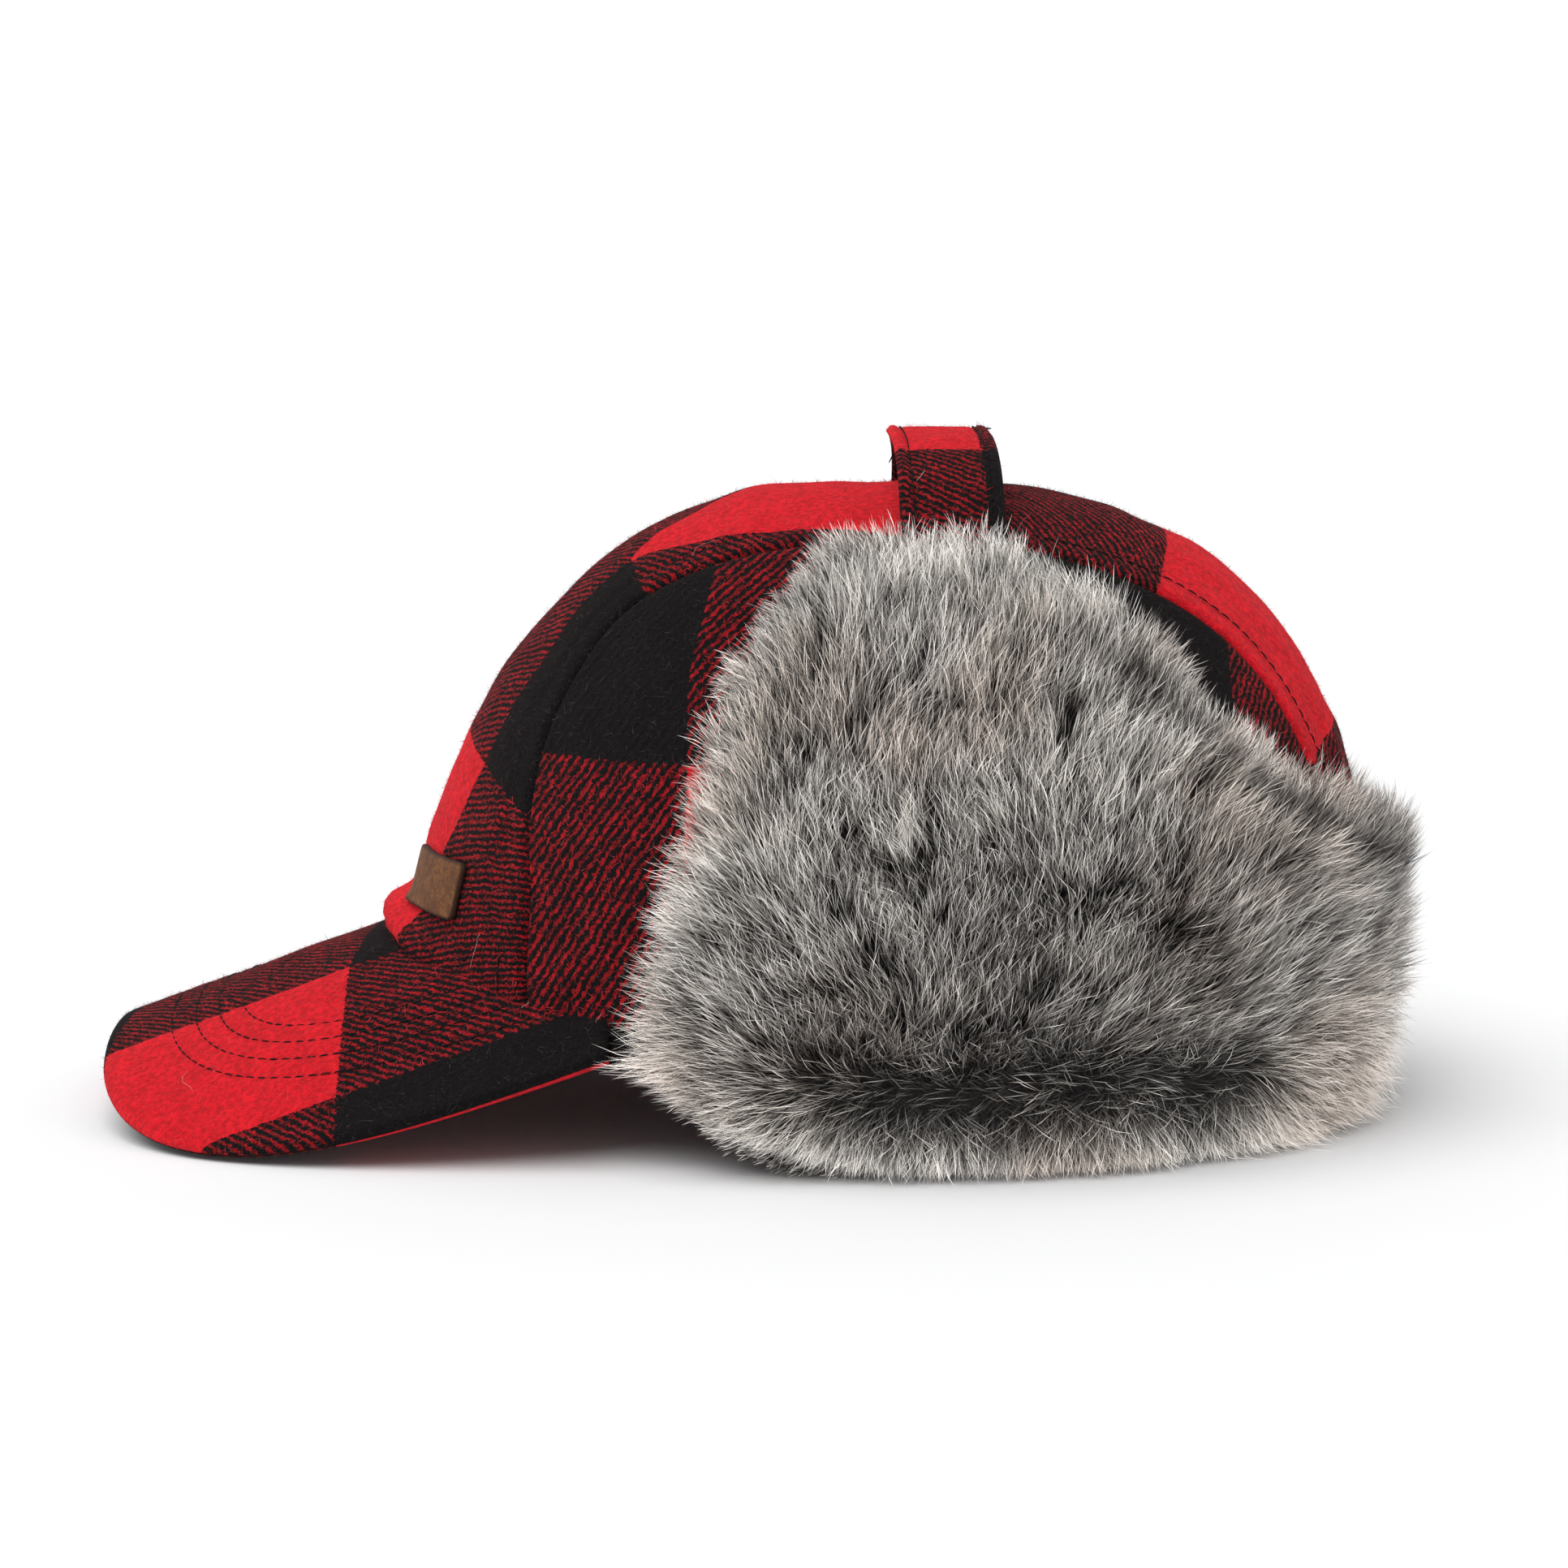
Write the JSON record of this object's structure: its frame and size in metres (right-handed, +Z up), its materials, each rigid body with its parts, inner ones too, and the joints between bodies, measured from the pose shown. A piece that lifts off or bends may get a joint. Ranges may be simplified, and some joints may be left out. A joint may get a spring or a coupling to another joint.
{
  "type": "earflap hat",
  "caption": "Check wool earflap hat with a stiff arched peak, a folded-up grey faux fur band round the sides and back, a loop strap over the crown and a plain leather tab.",
  "frame": {"origin": "on the ground plane, under the middle of the hat's bounding box", "axes": "+Z up, -Y towards the peak, +X towards the wearer's left"},
  "size_m": [0.1932, 0.2824, 0.1436],
  "materials": {
    "check_wool": "brushed wool twill in a red and black buffalo check",
    "faux_fur": "deep grey pile with dark roots and pale tips",
    "leather": "plain brown, satin"
  },
  "bodies": {
    "root": {"crown_centre_panel": "check_wool", "crown_side_panel_left": "check_wool", "crown_side_panel_right": "check_wool", "peak": "check_wool", "earflap_band": "faux_fur", "top_strap": "check_wool", "leather_label": "leather"}
  },
  "joints": []
}
